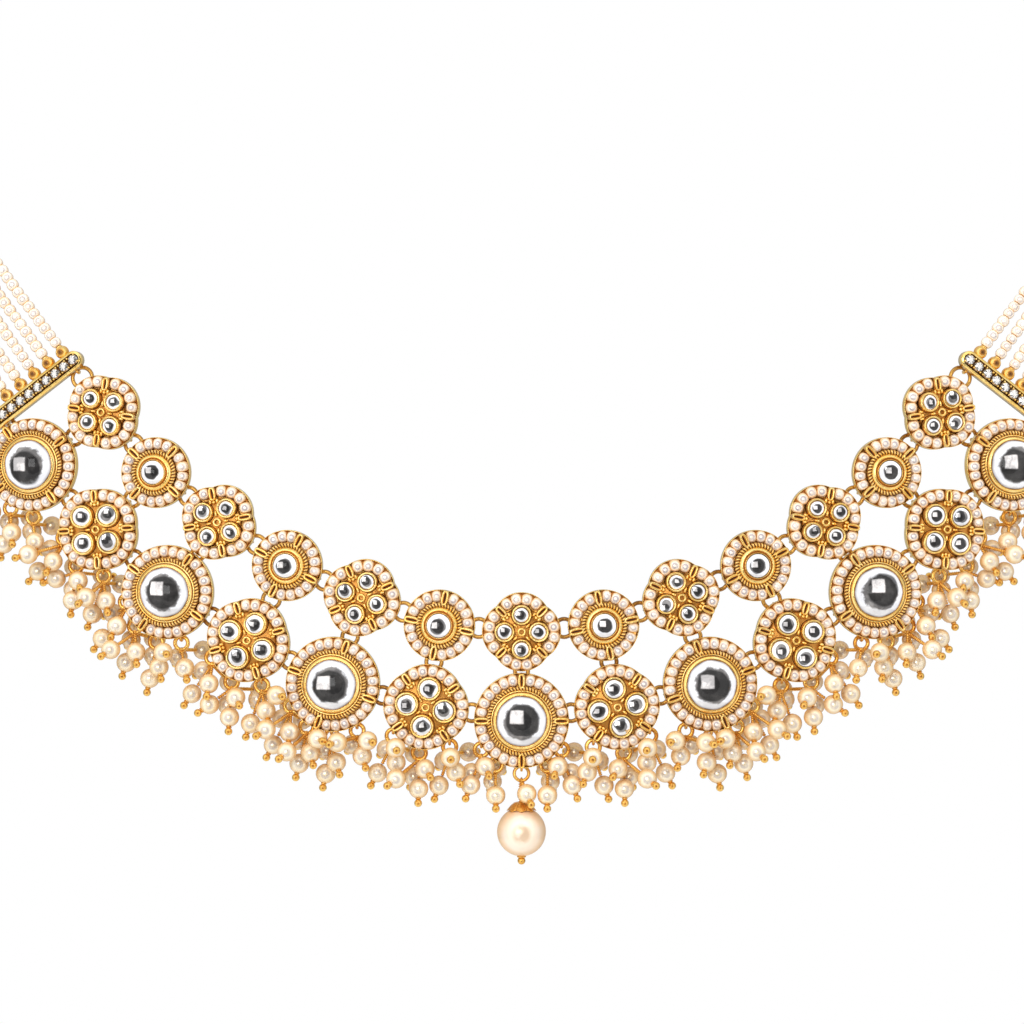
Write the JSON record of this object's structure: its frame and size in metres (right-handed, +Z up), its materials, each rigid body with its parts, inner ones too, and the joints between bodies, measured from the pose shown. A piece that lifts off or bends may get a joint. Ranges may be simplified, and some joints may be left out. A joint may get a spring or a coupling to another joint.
{
  "type": "kundan necklace",
  "caption": "Bib necklace of stone-set round and flower motifs in two linked rows, with a pearl fringe, a pearl centre drop and seed-bead strands closed at the nape",
  "frame": {"origin": "middle of the clasp's inner face, where the necklace rests on the nape", "axes": "+Z up as worn, +X toward the viewer's right, -Y the front"},
  "size_m": [0.2708, 0.0961, 0.2132],
  "materials": {
    "gold": "warm antique gold plating, polished, with brown in the recesses",
    "foiled_glass": "clear cut glass over silver foil, dark in the middle and bright at the edge",
    "pearl": "cream imitation pearl with a soft sheen",
    "seed_beads": "pale pinkish-white seed beads, glossy"
  },
  "bodies": {
    "necklace": {"big_setting_1": "gold", "big_setting_2": "gold", "big_setting_3": "gold", "big_setting_4": "gold", "big_setting_5": "gold", "big_setting_6": "gold", "big_setting_7": "gold", "lower_flower_setting_1": "gold", "lower_flower_setting_2": "gold", "lower_flower_setting_3": "gold", "lower_flower_setting_4": "gold", "lower_flower_setting_5": "gold", "lower_flower_setting_6": "gold", "upper_flower_setting_1": "gold", "upper_flower_setting_2": "gold", "upper_flower_setting_3": "gold", "upper_flower_setting_4": "gold", "upper_flower_setting_5": "gold", "upper_flower_setting_6": "gold", "upper_flower_setting_7": "gold", "round_setting_1": "gold", "round_setting_2": "gold", "round_setting_3": "gold", "round_setting_4": "gold", "round_setting_5": "gold", "round_setting_6": "gold", "big_stone_1": "foiled_glass", "big_stone_2": "foiled_glass", "big_stone_3": "foiled_glass", "big_stone_4": "foiled_glass", "big_stone_5": "foiled_glass", "big_stone_6": "foiled_glass", "big_stone_7": "foiled_glass", "round_stones": "foiled_glass", "lower_flower_stones": "foiled_glass", "upper_flower_stones": "foiled_glass", "strand_left_1": "seed_beads", "strand_left_2": "seed_beads", "strand_left_3": "seed_beads", "strand_left_4": "seed_beads", "strand_left_5": "seed_beads", "strand_left_6": "seed_beads", "strand_right_1": "seed_beads", "strand_right_2": "seed_beads", "strand_right_3": "seed_beads", "strand_right_4": "seed_beads", "strand_right_5": "seed_beads", "strand_right_6": "seed_beads", "row_links": "gold", "cross_links": "gold", "bar_left": "gold", "bar_right": "gold", "drop_wires_left": "gold", "drop_wires_right": "gold", "clasp": "gold", "pearls_left": "pearl", "pearls_right": "pearl"},
    "centre_drop": {"centre_drop_wire": "gold", "centre_pearl": "pearl"}
  },
  "joints": [
    {"name": "centre_drop_swing", "type": "hinge", "parent": "necklace", "child": "centre_drop", "pos_m": [0, -0.08525, -0.1793], "axis": [1, 0, 0], "range_deg": [-40, 40]}
  ]
}
